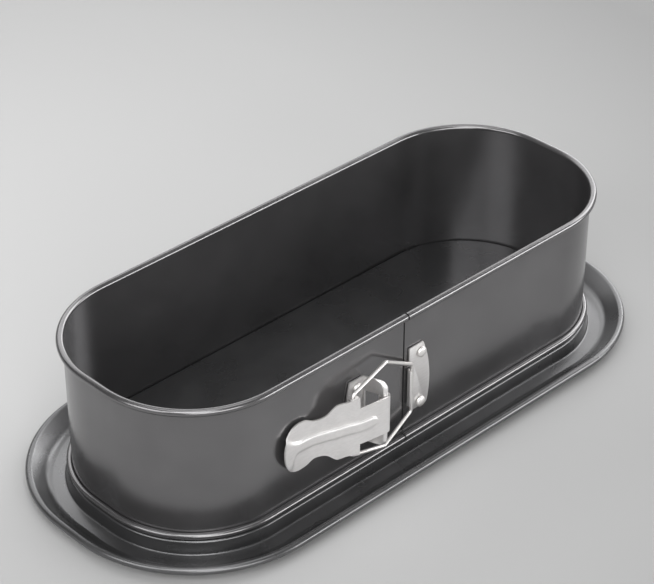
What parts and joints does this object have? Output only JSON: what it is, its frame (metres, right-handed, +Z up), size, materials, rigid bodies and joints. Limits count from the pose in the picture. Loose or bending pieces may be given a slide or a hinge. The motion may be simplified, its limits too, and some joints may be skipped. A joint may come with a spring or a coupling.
{
  "type": "springform loaf pan",
  "caption": "Long oval springform loaf pan: a spring band with an over-centre wire-bail clasp on a drip-edged base tray.",
  "frame": {"origin": "centre of the footprint on the table", "axes": "+X along the loaf, -Y towards the clasp side, +Z up"},
  "size_m": [0.314, 0.1452, 0.075],
  "materials": {
    "tray_coating": "non-stick coating, semi-gloss",
    "wall_coating": "non-stick coating, semi-gloss",
    "plated_steel": "zinc plated, satin",
    "rivet_steel": "plated, bright",
    "bright_wire": "drawn and plated, bright"
  },
  "bodies": {
    "base": {"base_tray": "tray_coating"},
    "band": {"band": "wall_coating", "hinge_bracket": "plated_steel", "bracket_rivet_upper": "rivet_steel", "bracket_rivet_lower": "rivet_steel", "catch_plate": "plated_steel", "catch_rivet_upper": "rivet_steel", "catch_rivet_lower": "rivet_steel"},
    "lever": {"clasp_lever": "plated_steel"},
    "bail": {"wire_bail": "bright_wire"}
  },
  "joints": [
    {"name": "band_lift", "type": "slide", "parent": "base", "child": "band", "axis": [0, 0, 1], "range_m": [0, 0.07]},
    {"name": "lever_swing", "type": "hinge", "parent": "band", "child": "lever", "pos_m": [-0.0336, -0.0617, 0.0386], "axis": [0, 0, 1], "range_deg": [0, 170]},
    {"name": "bail_swing", "type": "hinge", "parent": "lever", "child": "bail", "pos_m": [-0.0498, -0.0591, 0.0386], "axis": [0, 0, 1], "range_deg": [-162, 0]}
  ],
  "couplings": [
    {"joint": "bail_swing", "follows": "lever_swing", "ratio": -0.95}
  ]
}
